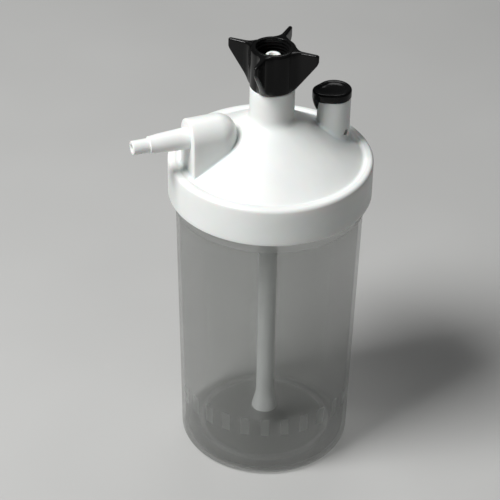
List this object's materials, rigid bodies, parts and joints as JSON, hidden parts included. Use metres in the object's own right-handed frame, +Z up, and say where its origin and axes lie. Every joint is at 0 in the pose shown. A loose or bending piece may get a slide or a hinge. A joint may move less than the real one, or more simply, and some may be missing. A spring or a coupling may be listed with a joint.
{
  "type": "bubble humidifier bottle",
  "caption": "Screw-top bubble humidifier bottle for an oxygen supply: frosted jar, white lid with outlet nipple and relief valve, dip tube with diffuser, black wing nut inlet.",
  "frame": {"origin": "centre of the jar's flat base, on the surface that it stands on", "axes": "+Z up along the jar's axis, -X towards the tip of the outlet nipple, the relief valve on +X"},
  "size_m": [0.1037, 0.086, 0.1956],
  "materials": {
    "frosted_plastic": "frosted translucent polypropylene",
    "white_plastic": "moulded white, satin",
    "tube_plastic": "extruded, milky",
    "black_plastic": "moulded black, glossy",
    "seal_silicone": "soft silicone",
    "seal_black": "black rubber",
    "porous_plastic": "sintered, porous",
    "brass": "turned",
    "spring_steel": "drawn wire"
  },
  "bodies": {
    "jar": {"jar": "frosted_plastic"},
    "gasket": {"lid_gasket": "seal_silicone"},
    "lid": {"lid": "white_plastic", "outlet_nipple": "white_plastic", "inlet_stem": "white_plastic", "stem_o_ring": "seal_black", "dip_tube": "tube_plastic", "diffuser_bell": "tube_plastic", "diffuser_disc": "porous_plastic", "valve_seat": "brass", "valve_cap": "black_plastic", "valve_spring": "spring_steel"},
    "nut": {"wing_nut": "black_plastic"},
    "poppet": {"valve_poppet": "white_plastic", "poppet_seal": "seal_black"}
  },
  "joints": [
    {"name": "lid_rise", "type": "slide", "parent": "jar", "child": "gasket", "axis": [0, 0, 1], "range_m": [0, 0.006]},
    {"name": "lid_turn", "type": "hinge", "parent": "gasket", "child": "lid", "pos_m": [0, 0, 0.14], "axis": [0, 0, 1], "range_deg": [0, 420]},
    {"name": "nut_spin", "type": "hinge", "parent": "lid", "child": "nut", "pos_m": [0, 0, 0.18], "axis": [0, 0, 1], "continuous": true},
    {"name": "poppet_lift", "type": "slide", "parent": "lid", "child": "poppet", "axis": [0, 0, 1], "range_m": [0, 0.0015], "stiffness_N_per_m": 100, "springref_m": -0.004, "deforming": ["valve_spring"]}
  ],
  "couplings": [
    {"joint": "lid_rise", "follows": "lid_turn", "m_per_rad": 0.00079577}
  ]
}
